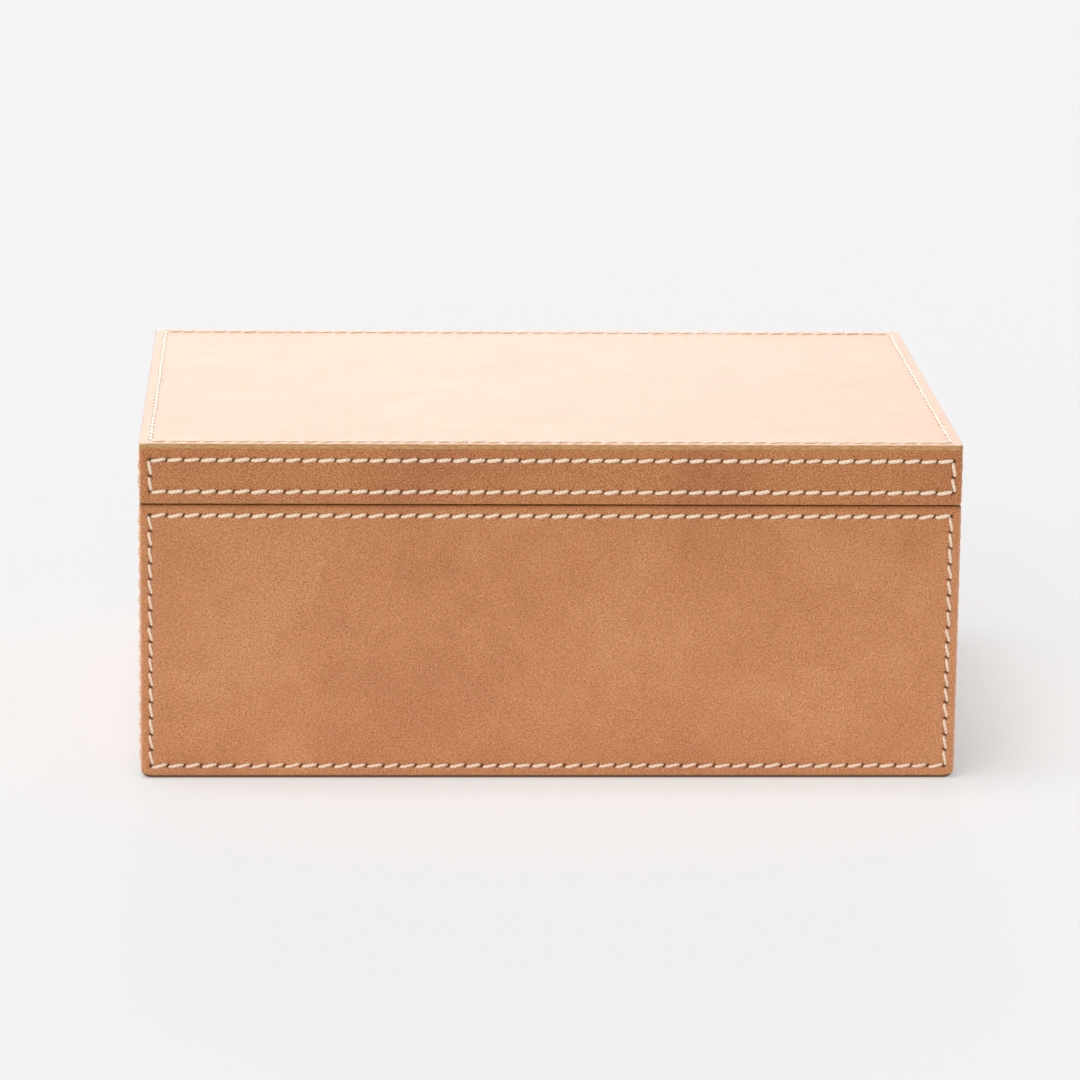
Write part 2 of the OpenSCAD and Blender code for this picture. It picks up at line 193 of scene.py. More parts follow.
hideShape = {
    "wideNoise": (3.0, 0.55, 0.6),     # detail, roughness and distortion
    "wideShare": 0.65,         # the rest of the clouds' tone comes from close clouds
    "closeNoise": (4.0, 0.6, 0.3),
    "closeScale": 5.0,         # against the scale of the wide clouds
    "fineNoise": (3.0, 0.65),
    "pebbleScale": 1.1,        # against the scale of the grain
    "pebbleSmoothness": 0.6,
    "poreRange": (0.25, 0.75),
    "poreTone": 0.15,          # how far the pores darken the speckle
}


# Grain of hide, shared by the leather, the rim strips and the suede: slow clouds of tone, fine speckle,
# and a height that mixes small pebbles with finer pores
def makeHideGrain(shape):
    tree, given, made = newGroup(
        "hideGrain",
        [("Place", "NodeSocketVector", None), ("Cloud Scale", "NodeSocketFloat", None),
         ("Grain Scale", "NodeSocketFloat", None), ("Pore Depth", "NodeSocketFloat", 0.5)],
        [("Cloud", "NodeSocketFloat"), ("Speckle", "NodeSocketFloat"), ("Height", "NodeSocketFloat")])
    place = given["Place"]
    wide = noise(tree, place, given["Cloud Scale"], *shape["wideNoise"])
    closeScale = calc(tree, "MULTIPLY", given["Cloud Scale"], shape["closeScale"])
    close = noise(tree, place, closeScale, *shape["closeNoise"])
    cloud = calc(tree, "MULTIPLY", close, 1 - shape["wideShare"])
    cloud = calc(tree, "MULTIPLY_ADD", wide, shape["wideShare"], cloud)
    fine = noise(tree, place, given["Grain Scale"], *shape["fineNoise"])
    pebbleScale = calc(tree, "MULTIPLY", given["Grain Scale"], shape["pebbleScale"])
    pebbles = addNode(tree, "ShaderNodeTexVoronoi", {
        "Vector": place, "Scale": pebbleScale, "Smoothness": shape["pebbleSmoothness"]},
        feature="SMOOTH_F1")
    pores = ramp(tree, pebbles.outputs["Distance"], *shape["poreRange"])
    speckle = calc(tree, "SUBTRACT", fine, calc(tree, "MULTIPLY", pores, shape["poreTone"]))
    height = calc(tree, "SUBTRACT", fine, calc(tree, "MULTIPLY", pores, given["Pore Depth"]))
    tree.links.new(cloud, made["Cloud"])
    tree.links.new(speckle, made["Speckle"])
    tree.links.new(height, made["Height"])
    return tree


rubShape = {
    "noise": (260.0, 3.0, 0.6),
    "breakUp": 0.3,            # how far the noise moves the edge attribute, from lowest to highest
    "range": (0.35, 0.75),
}


# Rubbed edge, shared by the leather and the rim strips: the colour changes where the edge attribute rises,
# broken up by a noise so that the line isn't ruled
def makeRubbedEdge(shape):
    tree, given, made = newGroup(
        "rubbedEdge",
        [("Place", "NodeSocketVector", None), ("Edge", "NodeSocketFloat", 0.0),
         ("Base", "NodeSocketColor", None), ("Rubbed", "NodeSocketColor", None)],
        [("Color", "NodeSocketColor")])
    uneven = noise(tree, given["Place"], *shape["noise"])
    broken = calc(tree, "MULTIPLY_ADD", uneven, shape["breakUp"], -shape["breakUp"] / 2)
    mask = ramp(tree, calc(tree, "ADD", given["Edge"], broken), *shape["range"])
    tree.links.new(blend(tree, mask, given["Base"], given["Rubbed"]), made["Color"])
    return tree


hideGrain = makeHideGrain(hideShape)
rubbedEdge = makeRubbedEdge(rubShape)

leatherLook = {
    "dark": tint(191, 124, 76),
    "middle": tint(198, 131, 82),
    "light": tint(204, 138, 89),
    "edge": tint(204, 157, 101),
    "rawDark": tint(170, 122, 68),
    # painted shade under the bottom edges and deep in the seam's gap
    "foot": tint(112, 70, 36),
    # painted shade inside the awl holes
    "hole": tint(92, 52, 16),
    "tonePowers": (1.0, 1.58, 3.05),   # darker leather, and the painted shade on it, is redder too
    "darkest": 0.05,
    "cloudScale": 14.0,
    "cloudSpread": 0.16,       # departure of the clouds from 0.5 that reaches the dark or the light colour
    "grainScale": 1500.0,
    "speckle": 1.32,           # how strongly the fine grain shows in the colour
    "speckleMiddle": 0.43,
    "layerNoise": (330.0, 4.0, 0.65),     # streaks along the cut edge
    "layerStretch": (1.0, 1.0, 5.0),
    "layerRange": (0.34, 0.64),
    "paintedShadeRange": (1.15, 1.8),  # of the edge attribute, where the foot colour's painted shade comes in
    "holeShadeRange": (0.25, 0.8),
    "roughness": (0.40, 0.56),
    "bump": (0.6, 0.0002),
}


def makeLeather(look):
    material, tree = newMaterial("undyedLeather")
    place = objectPlace(tree)
    grain = useGroup(tree, hideGrain, {
        "Place": place, "Cloud Scale": look["cloudScale"], "Grain Scale": look["grainScale"]})
    strength = attribute(tree, "grain")
    cloud = calc(tree, "MULTIPLY", calc(tree, "SUBTRACT", grain["Cloud"], 0.5), strength)
    cloud = ramp(tree, cloud, -look["cloudSpread"], look["cloudSpread"])
    colour = blend(tree, ramp(tree, cloud, 0.0, 0.5), look["dark"], look["middle"])
    colour = blend(tree, ramp(tree, cloud, 0.5, 1.0), colour, look["light"])
    speckle = calc(tree, "SUBTRACT", grain["Speckle"], look["speckleMiddle"])
    speckle = calc(tree, "MULTIPLY", speckle, look["speckle"])
    # the tone attribute carries painted shade and painted light, besides the grain's speckle
    tone = calc(tree, "MULTIPLY_ADD", speckle, strength, attribute(tree, "tone"))
    tone = calc(tree, "MAXIMUM", tone, look["darkest"])
    shade = addNode(tree, "ShaderNodeCombineXYZ", {
        channel: calc(tree, "POWER", tone, power) for channel, power in enumerate(look["tonePowers"])})
    colour = blend(tree, 1.0, colour, shade.outputs[0], "MULTIPLY")
    edge = attribute(tree, "edge")
    layers = noise(tree, stretched(tree, place, look["layerStretch"]), *look["layerNoise"])
    raw = blend(tree, ramp(tree, layers, *look["layerRange"]), look["edge"], look["rawDark"])
    rubbed = useGroup(tree, rubbedEdge, {"Place": place, "Edge": edge, "Base": colour, "Rubbed": raw})
    # painted shade where the edge attribute runs high: under the bottom edges and inside the seam's gap
    colour = blend(tree, ramp(tree, edge, *look["paintedShadeRange"]), rubbed["Color"], look["foot"])
    # painted shade in the awl holes, where the pit attribute is high
    colour = blend(tree, ramp(tree, attribute(tree, "pit"), *look["holeShadeRange"]), colour, look["hole"])
    roughness = between(tree, grain["Speckle"], *look["roughness"])
    height = calc(tree, "MULTIPLY", grain["Height"], strength)
    finishMaterial(tree, {"Base Color": colour, "Roughness": roughness}, height, look["bump"])
    return material


leather = makeLeather(leatherLook)

rimLook = {
    "dark": tint(158, 104, 66),
    "light": tint(184, 126, 84),
    "edge": tint(120, 78, 48),
    "cloudScale": 40.0,
    "grainScale": 1100.0,
    "toneRange": (0.3, 0.7),
    "roughness": (0.36, 0.56),
    "bump": (0.3, 0.0001),
}


def makeRimLeather(look):
    material, tree = newMaterial("rimLeather")
    place = objectPlace(tree)
    grain = useGroup(tree, hideGrain, {
        "Place": place, "Cloud Scale": look["cloudScale"], "Grain Scale": look["grainScale"]})
    colour = blend(tree, ramp(tree, grain["Cloud"], *look["toneRange"]), look["dark"], look["light"])
    rubbed = useGroup(tree, rubbedEdge, {
        "Place": place, "Edge": attribute(tree, "edge"), "Base": colour, "Rubbed": look["edge"]})
    roughness = between(tree, grain["Speckle"], *look["roughness"])
    inputs = {"Base Color": rubbed["Color"], "Roughness": roughness}
    finishMaterial(tree, inputs, grain["Height"], look["bump"])
    return material


rimLeather = makeRimLeather(rimLook)

suedeLook = {
    "dark": tint(198, 172, 141),
    "light": tint(219, 196, 167),
    "cloudScale": 22.0,
    "grainScale": 1900.0,
    "poreDepth": 0.1,
    "brushNoise": (520.0, 4.0, 0.72, 1.2),
    "brushStretch": (1.0, 0.45, 1.0),
    "cloudShare": 0.5,         # shares of the tone
    "brushShare": 0.35,
    "speckleShare": 0.25,
    "toneRange": (0.36, 0.66),
    "roughness": (0.8, 0.95),
    "bump": (0.35, 0.0002),
}


def makeSuede(look):
    material, tree = newMaterial("suedeLining")
    place = objectPlace(tree)
    grain = useGroup(tree, hideGrain, {
        "Place": place, "Cloud Scale": look["cloudScale"], "Grain Scale": look["grainScale"],
        "Pore Depth": look["poreDepth"]})
    brushed = noise(tree, stretched(tree, place, look["brushStretch"]), *look["brushNoise"])
    tone = calc(tree, "MULTIPLY", brushed, look["brushShare"])
    tone = calc(tree, "MULTIPLY_ADD", grain["Cloud"], look["cloudShare"], tone)
    tone = calc(tree, "MULTIPLY_ADD", grain["Speckle"], look["speckleShare"], tone)
    colour = blend(tree, ramp(tree, tone, *look["toneRange"]), look["dark"], look["light"])
    roughness = between(tree, grain["Speckle"], *look["roughness"])
    inputs = {"Base Color": colour, "Roughness": roughness, "Sheen Weight": 0.35, "Sheen Roughness": 0.5,
              "Specular IOR Level": 0.2}
    finishMaterial(tree, inputs, calc(tree, "ADD", grain["Height"], brushed), look["bump"])
    return material


suede = makeSuede(suedeLook)

threadLook = {
    # painted shade in the grooves between the plies
    "grooveShade": tint(222, 197, 168),
    "crown": tint(246, 229, 205),
    "lay": 1.7,                # millimetres along the thread from one ply's crown to the next
    "plies": 2.0,
    "fibreNoise": (2600.0, 2.0, 0.6),
    "plyShare": 0.75,          # shares of the tone
    "fibreShare": 0.3,
    "toneRange": (0.1, 0.75),
    "roughness": (0.24, 0.44),
    "bump": (0.25, 0.0001),
}


# Plies laid round each other, as slanted bands, (1 + cos(2 pi (along / lay + plies * round))) / 2, with
# painted shade in the grooves between them
def makeThread(look):
    material, tree = newMaterial("waxedThread")
    layMap = addNode(tree, "ShaderNodeUVMap", uv_map="lay").outputs["UV"]
    parts = addNode(tree, "ShaderNodeSeparateXYZ", {0: layMap}).outputs
    turns = calc(tree, "MULTIPLY", parts[1], look["plies"])
    turns = calc(tree, "MULTIPLY_ADD", parts[0], 1 / (look["lay"] * mm), turns)
    wave = calc(tree, "COSINE", calc(tree, "MULTIPLY", turns, 2 * math.pi))
    ply = calc(tree, "MULTIPLY_ADD", wave, 0.5, 0.5)
    fibre = noise(tree, objectPlace(tree), *look["fibreNoise"])
    tone = calc(tree, "MULTIPLY", fibre, look["fibreShare"])
    tone = calc(tree, "MULTIPLY_ADD", ply, look["plyShare"], tone)
    colour = blend(tree, ramp(tree, tone, *look["toneRange"]), look["grooveShade"], look["crown"])
    roughness = between(tree, fibre, *look["roughness"])
    inputs = {"Base Color": colour, "Roughness": roughness, "Sheen Weight": 0.5}
    finishMaterial(tree, inputs, tone, look["bump"])
    return material


thread = makeThread(threadLook)

boardLook = {
    "light": tint(214, 182, 138),
    "dark": tint(176, 136, 92),
    "ply": 0.0012,             # metres
    "fibreNoise": (900.0, 4.0, 0.65, 0.4),
    "fibreStretch": (0.06, 1.0, 1.0),
    "layerShare": 0.45,        # shares of the tone
    "fibreShare": 0.6,
    "toneRange": (0.2, 0.8),
    "roughness": (0.5, 0.75),
    "bump": (0.25, 0.0001),
}


# Thin plies through the height of the board, light and dark in turn, with long fibres along X
def makeBoard(look):
    material, tree = newMaterial("birchBoard")
    place = objectPlace(tree)
    height = addNode(tree, "ShaderNodeSeparateXYZ", {0: place}).outputs[2]
    layer = calc(tree, "PINGPONG", calc(tree, "MULTIPLY", height, 1 / look["ply"]), 1.0)
    fibre = noise(tree, stretched(tree, place, look["fibreStretch"]), *look["fibreNoise"])
    tone = calc(tree, "MULTIPLY", fibre, look["fibreShare"])
    tone = calc(tree, "MULTIPLY_ADD", layer, look["layerShare"], tone)
    colour = blend(tree, ramp(tree, tone, *look["toneRange"]), look["light"], look["dark"])
    roughness = between(tree, fibre, *look["roughness"])
    finishMaterial(tree, {"Base Color": colour, "Roughness": roughness}, fibre, look["bump"])
    return material


board = makeBoard(boardLook)

brassLook = {
    "bright": tint(208, 174, 108),
    "tarnish": tint(172, 136, 78),
    "lineNoise": (5200.0, 3.0, 0.6),
    "lineStretch": (0.04, 1.0, 1.0),
    "cloudNoise": (190.0, 4.0, 0.6),
    "tarnishRange": (0.45, 0.75),
    "roughness": (0.2, 0.35),
    "cloudRoughness": 0.2,     # what the clouds add to it
    "bump": (0.2, 0.00005),
}


# Drawn brass: fine lines along the hinge, darker where it has tarnished
def makeBrass(look):
    material, tree = newMaterial("satinBrass")
    place = objectPlace(tree)
    lines = noise(tree, stretched(tree, place, look["lineStretch"]), *look["lineNoise"])
    clouds = noise(tree, place, *look["cloudNoise"])
    colour = blend(tree, ramp(tree, clouds, *look["tarnishRange"]), look["bright"], look["tarnish"])
    roughness = between(tree, lines, *look["roughness"])
    roughness = calc(tree, "MULTIPLY_ADD", clouds, look["cloudRoughness"], roughness)
    inputs = {"Base Color": colour, "Metallic": 1.0, "Roughness": roughness}
    finishMaterial(tree, inputs, lines, look["bump"])
    return material


brass = makeBrass(brassLook)
print("stage: materials made")


# Meshes are worked out in millimetres. Each face of the box has its right, up and outward directions, as
# seen from outside, and u, v and w are the places along them

directions = {
    "front": ((1, 0, 0), (0, 0, 1), (0, -1, 0)),
    "back": ((-1, 0, 0), (0, 0, 1), (0, 1, 0)),
    "right": ((0, 1, 0), (0, 0, 1), (1, 0, 0)),
    "left": ((0, -1, 0), (0, 0, 1), (-1, 0, 0)),
    "top": ((1, 0, 0), (0, 1, 0), (0, 0, 1)),
    "bottom": ((1, 0, 0), (0, -1, 0), (0, 0, -1)),
}


# Axes of a face, and a node's extent along each of them
def faceSpan(node, facing):
    axes = np.array(directions[facing], float)
    corners = np.array([list(corner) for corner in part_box(node)]) / mm
    spans = [np.sort(corners @ axis) for axis in axes]
    return axes, spans


def onFace(axes, u, v, w):
    return u[..., None] * axes[0] + v[..., None] * axes[1] + w[..., None] * axes[2]


def buildMesh(name, points, faces, marks=None):
    mesh = bpy.data.meshes.new(name)
    mesh.from_pydata((np.asarray(points) * mm).tolist(), [], faces)
    mesh.polygons.foreach_set("use_smooth", np.ones(len(mesh.polygons), bool))
    for label, values in (marks or {}).items():
        layer = mesh.attributes.new(label, "FLOAT", "POINT")
        layer.data.foreach_set("value", np.asarray(values, np.float32))
    return mesh


# A piece takes its mesh's name, and stands for one CAD node
def placePiece(mesh, material, body, node):
    mesh.materials.append(material)
    piece = bpy.data.objects.new(mesh.name, mesh)
    bpy.context.scene.collection.objects.link(piece)
    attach(piece, body)
    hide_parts(node)


def step(value, low, high):
    t = np.clip((value - low) / (high - low), 0, 1)
    return t * t * (3 - 2 * t)


# Distance of each line from the hole that is nearest to it
def nearest(lines, holes):
    return lines - holes[np.abs(lines[:, None] - holes).argmin(1)]


gridShape = {
    "nearEnds": (0.45, 1.1, 2.2),     # distances of extra lines from the ends of the face
    "inCorners": (0.3, 0.6, 0.85),    # the same, as shares of the largest rounding
    "nearHoles": (-0.8, -0.4, 0.0, 0.4, 0.8),
    "betweenHoles": 3,
    "leastStep": 0.09,
    "leastCorner": 0.25,
}


# Lines of the grid from one end to the other: the ends, some near them, and either some near and between the
# holes or evenly spaced ones
def gridLines(low, high, nearEnds, holes, piece):
    parts = [np.array([low, high]), low + nearEnds, high - nearEnds]
    if holes is None:
        parts.append(np.linspace(low, high, max(3, int((high - low) / piece["plain"]))))
    else:
        nearHoles = np.array(piece.get("nearHoles", gridShape["nearHoles"]))
        parts.append((holes[:, None] + nearHoles).ravel())
        t = np.linspace(0, 1, gridShape["betweenHoles"] + 2)[1:-1]
        starts, stops = holes[:-1] + nearHoles.max(), holes[1:] - nearHoles.max()
        parts.append((starts[:, None] + (stops - starts)[:, None] * t).ravel())
    lines = np.sort(np.concatenate(parts))
    lines = lines[(lines >= low) & (lines <= high)]
    lines = lines[np.concatenate([[True], np.diff(lines) > gridShape["leastStep"]])]
    lines[-1] = high
    return lines


# Both sets of lines of a panel's face, which ends where its rolled edges begin
def panelGrid(piece, seam, spanU, spanV, edges):
    left, right, bottom, top = (edge[0] for edge in edges)
    largest = max(piece["corners"])
    nearEnds = np.array(gridShape["nearEnds"] + tuple(largest * share for share in gridShape["inCorners"]))
    holesU, holesV = (seam["holesU"], seam["holesV"]) if seam else (None, None)
    u = gridLines(spanU[0] + left, spanU[1] - right, nearEnds, holesU, piece)
    v = gridLines(spanV[0] + bottom, spanV[1] - top, nearEnds, holesV, piece)
    return u, v


# Places of the grid's points, where the square at each corner is carried onto a quarter disc,
# (a sqrt(1 - b^2/2), b sqrt(1 - a^2/2))
def roundCorners(u, v, edges, corners):
    left, right, bottom, top = (edge[0] for edge in edges)
    gridU, gridV = np.meshgrid(u, v, indexing="ij")
    for signU, signV, outer in zip((-1, 1, 1, -1), (-1, -1, 1, 1), corners):
        cornerU = max(gridShape["leastCorner"], outer - (left if signU < 0 else right))
        cornerV = max(gridShape["leastCorner"], outer - (bottom if signV < 0 else top))
        originU = (u[0] if signU < 0 else u[-1]) - signU * cornerU
        originV = (v[0] if signV < 0 else v[-1]) - signV * cornerV
        a = (gridU - originU) * signU / cornerU
        b = (gridV - originV) * signV / cornerV
        inside = (a > 0) & (b > 0)
        discU = originU + signU * cornerU * a * np.sqrt(np.clip(1 - b * b / 2, 0, 1))
        discV = originV + signV * cornerV * b * np.sqrt(np.clip(1 - a * a / 2, 0, 1))
        gridU = np.where(inside, discU, gridU)
        gridV = np.where(inside, discV, gridV)
    return gridU.ravel(), gridV.ravel()


panelShape = {
    "channelDepth": 0.22,
    "channelWidth": 0.95,
    "rowFade": (0.4, 1.6),   # from where to where a row fades out past its last holes
    "pitDepth": 0.6,
    "pitShade": 1.0,         # how dark the painted shade in the holes is
    "pitAlong": 0.66,
    "pitAcross": 0.95,
    "slant": 0.5,            # sideways lean of the awl slits
    "lip": 0.05,
    "lipRadius": 1.75,       # in radii of the pit, as is its width
    "lipWidth": 0.5,
    "swell": 0.07,
    "swells": 5,
    "swellLengths": (45, 140),
    "swellFade": 12,         # distance from the border at which the swell is full
    "reliefFade": 0.9,       # and the same for the whole relief
}


# 1 from the first hole of a row to the last, fading out past both
def alongRow(place, holes, fade):
    begins = step(place, holes[0] - fade[1], holes[0] - fade[0])
    return begins * (1 - step(place, holes[-1] + fade[0], holes[-1] + fade[1]))


# Shape of the four rows of a seam, in shares from 0 to 1: a soft channel along each row,
# exp(-(distance / width)^2), a pit at each slanted hole, exp(-radius^4), and a lip round it
def rowRelief(u, v, seam, shape):
    channel = np.zeros((len(u), len(v)))
    pit = np.zeros_like(channel)
    lip = np.zeros_like(channel)
    holesU, holesV = seam["holesU"], seam["holesV"]
    du, dv = u[:, None], v[None, :]
    nearU, nearV = nearest(u, holesU)[:, None], nearest(v, holesV)[None, :]
    insideU, insideV = alongRow(du, holesU, shape["rowFade"]), alongRow(dv, holesV, shape["rowFade"])
    rows = [(nearU, dv - holesV[k], insideU, shape["slant"]) for k in (0, -1)]
    rows += [(nearV, du - holesU[k], insideV, -shape["slant"]) for k in (0, -1)]
    for along, across, inside, slant in rows:
        channel = np.maximum(channel, inside * np.exp(-(across / shape["channelWidth"]) ** 2))
        squared = ((along - slant * across) / shape["pitAlong"]) ** 2 + (across / shape["pitAcross"]) ** 2
        pit = np.maximum(pit, np.exp(-squared ** 2))
        fromLip = (np.sqrt(squared) - shape["lipRadius"]) / shape["lipWidth"]
        lip = np.maximum(lip, np.exp(-fromLip ** 2))
    return channel, pit, lip


# Relief of a face over (u, v): that of its seam, and a slow swell, a mean of sines, that fades out at the
# border
def sewnRelief(u, v, seam, shape, draw):
    du, dv = u[:, None], v[None, :]
    channel, pit, lip = rowRelief(u, v, seam, shape) if seam else np.zeros((3, len(u), len(v)))
    swell = np.zeros_like(channel)
    for number in range(shape["swells"]):
        turn = draw.uniform(0, 2 * math.pi)
        wave = 2 * math.pi / draw.uniform(*shape["swellLengths"])
        phase = draw.uniform(0, 2 * math.pi)
        swell += np.sin(wave * (math.cos(turn) * du + math.sin(turn) * dv) + phase) / shape["swells"]
    border = np.minimum(np.minimum(du - u[0], u[-1] - du), np.minimum(dv - v[0], v[-1] - dv))
    height = -shape["channelDepth"] * channel - shape["pitDepth"] * pit + shape["lip"] * lip * (1 - pit)
    height += shape["swell"] * (swell - 1) * step(border, 0, shape["swellFade"])
    # the pit, times pitShade, gives the painted shade in the holes
    return height * step(border, 0, shape["reliefFade"]), pit * shape["pitShade"]


# Rolled edge of a panel: how far it reaches across the face and how deep it goes, its share of straight
# bevel, how raw it looks, how much painted shade darkens its roll, and how much painted shade darkens the
# cut deeper in
def rolledEdge(reach, deep, bevel=0.0, raw=0.0, dark=0.0, deepShade=0.0):
    return np.array([reach, deep, bevel, raw, dark, deepShade])


edgeShapes = {
    "soft": rolledEdge(0.9, 0.9),
    "corner": rolledEdge(0.35, 0.4, raw=0.3),
    # the foot edges' dark and deepShade are painted shade under the box; the seams' deepShade is painted
    # shade in the gap
    "foot": rolledEdge(1.75, 0.95, raw=0.5, dark=1.0, deepShade=1.0),
    "sideFoot": rolledEdge(3.5, 1.9, bevel=0.4, raw=0.5, dark=1.0, deepShade=1.0),
    "baseSeam": rolledEdge(0.3, 0.35, raw=0.3, deepShade=0.8),
    "lidSeam": rolledEdge(0.5, 0.16, bevel=0.6, raw=1.0, deepShade=0.5),
    "hingeSeam": rolledEdge(1.25, 1.05, bevel=1.0, raw=1.0),
    "topSide": rolledEdge(0.3, 0.35, raw=0.3),
    "topFront": rolledEdge(0.16, 0.2, raw=1.0),
    "plain": rolledEdge(0.3, 0.3),
    "bottomSide": rolledEdge(1.5, 0.4),
    "lining": rolledEdge(0.35, 0.4),
    "strip": rolledEdge(0.5, 0.55),
}

rollShape = {
    "rings": 5,
    "leastSide": 0.05,       # least thickness left under a rolled edge
    "slope": 0.3,            # part of the edge attribute that rises evenly on the way down
    "rawRange": (0.05, 0.6),     # where the raw look sets in, from 0 to 1 on the way down
    # where the painted shade on the roll of a foot edge sets in, and how strong it is
    "rollShadeRange": (0.0, 0.32),
    "rollShadeLevel": 2,
    "highlightRise": 1.6,         # how soon the painted highlight and paleness of a fold grow on its way down
    "highlightPower": 8,          # and how soon its painted highlight ends round a corner
    "shadeReach": 0.8,       # distance in which the painted shade along the top falls to 1/e
    "sharpAngle": 62,        # degrees
}


# Outward direction at each point of a closed border, from its neighbours on both sides
def outwards(edgeU, edgeV):
    alongU = np.roll(edgeU, -1) - np.roll(edgeU, 1)
    alongV = np.roll(edgeV, -1) - np.roll(edgeV, 1)
    size = np.hypot(alongU, alongV)
    return alongV / size, -alongU / size


# Values of the rolled edges along a border: those of the side that it is on, and round a corner those of
# both sides in the shares cos^2 and sin^2 of the direction
def edgeAlong(outU, outV, edges):
    left, right, bottom, top = edges
    sideU = np.where(outU[:, None] > 0, right, left)
    sideV = np.where(outV[:, None] > 0, top, bottom)
    return (sideU * outU[:, None] ** 2 + sideV * outV[:, None] ** 2).T


# Rings of a rolled edge: share of the reach, sin(angle), depth, deep * (1 - cos(angle)), both partly a
# straight bevel, and progress from 0 to 1; the last ring is at the back of the panel
def rollRings(deep, bevel, thick, count):
    angles = np.linspace(0, math.pi / 2, count + 1)[1:, None]
    line = angles / (math.pi / 2)
    outBy = (1 - bevel) * np.sin(angles) + bevel * line
    downBy = (1 - bevel) * (1 - np.cos(angles)) + bevel * line
    outBy = np.vstack([outBy, np.ones(len(deep))])
    depth = np.vstack([deep * downBy, np.full(len(deep), thick)])
    return outBy, depth, np.vstack([line, [[1.0]]])


# Edge attribute, with painted shade on the roll of a foot edge and on the cut deep in a gap or under the
# foot
def edgeMark(rolled, raw, dark, deepShade):
    slope = rollShape["slope"]
    mark = slope * rolled + (raw - slope) * step(rolled, *rollShape["rawRange"])
    mark = mark + dark * rollShape["rollShadeLevel"] * step(rolled, *rollShape["rollShadeRange"])
    mark[-1] = np.maximum(mark[-1], 1.0 + deepShade)
    return mark


# Tone of a cover, from its distances from the top: the tone at the bottom, the tone at the top, the width of
# the change, and a shade along the top; the change, the lid's lower tone and the top's higher one are
# painted shade and painted light, and the shade along the top is painted shade of the seam
def toneAndShadeMark(away, tone):
    bottomToneAndLight, topToneAndLight, width, shade = tone
    changed = topToneAndLight + (bottomToneAndLight - topToneAndLight) * step(away, 0, width)
    return changed - shade * np.exp(-away / rollShape["shadeReach"])


# Painted highlight on a rolled edge, with the paleness of leather stretched round it, at the left and right
# and at the bottom and top
def foldHighlightMark(rolled, outU, outV, foldHighlight):
    highlightU, highlightV = foldHighlight
    power = rollShape["highlightPower"]
    sides = highlightU * np.abs(outU) ** power + highlightV * np.abs(outV) ** power
    return np.minimum(1, rollShape["highlightRise"] * rolled) * sides


# Closed panel of leather: a face with its relief, a rolled edge and a cut edge round it, and one back face
def makePanel(name, piece, seam=None):
    draw = np.random.default_rng(piece["seed"])
    axes, (spanU, spanV, spanW) = faceSpan(piece["node"], piece["faces"])
    thick = spanW[1] - spanW[0]
    edges = [edgeShapes[key] for key in piece["edges"]]
    u, v = panelGrid(piece, seam, spanU, spanV, edges)
    height, pit = sewnRelief(u, v, seam, dict(panelShape, **piece.get("relief", {})), draw)
    faceU, faceV = roundCorners(u, v, edges, piece["corners"])
    index = np.arange(len(faceU)).reshape(len(u), len(v))
    quads = np.stack([index[:-1, :-1], index[1:, :-1], index[1:, 1:], index[:-1, 1:]], -1).reshape(-1, 4)
    border = np.concatenate([index[:-1, 0], index[-1, :-1], index[:0:-1, -1], index[0, :0:-1]])
    edgeU, edgeV = faceU[border], faceV[border]
    outU, outV = outwards(edgeU, edgeV)
    reach, deep, bevel, raw, dark, deepShade = edgeAlong(outU, outV, edges)
    deep = np.minimum(deep, thick - rollShape["leastSide"])
    outBy, depth, rolled = rollRings(deep, bevel, thick, piece.get("rings", rollShape["rings"]))
    ringU = edgeU + outU * reach * outBy
    ringV = edgeV + outV * reach * outBy
    points = np.concatenate([
        onFace(axes, faceU, faceV, spanW[1] + height.ravel()),
        onFace(axes, ringU.ravel(), ringV.ravel(), spanW[1] - depth.ravel())])
    belt = np.vstack([border, len(faceU) + np.arange(ringU.size).reshape(ringU.shape)])
    after = np.roll(belt, -1, axis=1)
    skirt = np.stack([belt[1:], after[1:], after[:-1], belt[:-1]], -1).reshape(-1, 4)
    onGrid = np.zeros(len(faceU))
    marks = {
        "edge": np.concatenate([onGrid, edgeMark(rolled, raw, dark, deepShade).ravel()]),
        "pit": np.concatenate([pit.ravel(), np.zeros(ringU.size)]),
        "grain": np.full(len(points), piece.get("grain", 1.0)),
    }
    if "tone" in piece:
        # tone with painted shade and painted light
        tone = toneAndShadeMark(spanV[1] - np.concatenate([faceV, ringV.ravel()]), piece["tone"])
        # painted highlight, with the paleness of stretched leather, on the rolled edges
        paleHighlight = foldHighlightMark(rolled, outU, outV, piece.get("foldHighlight", (0.0, 0.0)))
        marks["tone"] = tone + np.concatenate([onGrid, paleHighlight.ravel()])
    mesh = buildMesh(name, points, quads.tolist() + skirt.tolist() + [belt[-1, ::-1].tolist()], marks)
    mesh.set_sharp_from_angle(angle=math.radians(rollShape["sharpAngle"]))
    return mesh


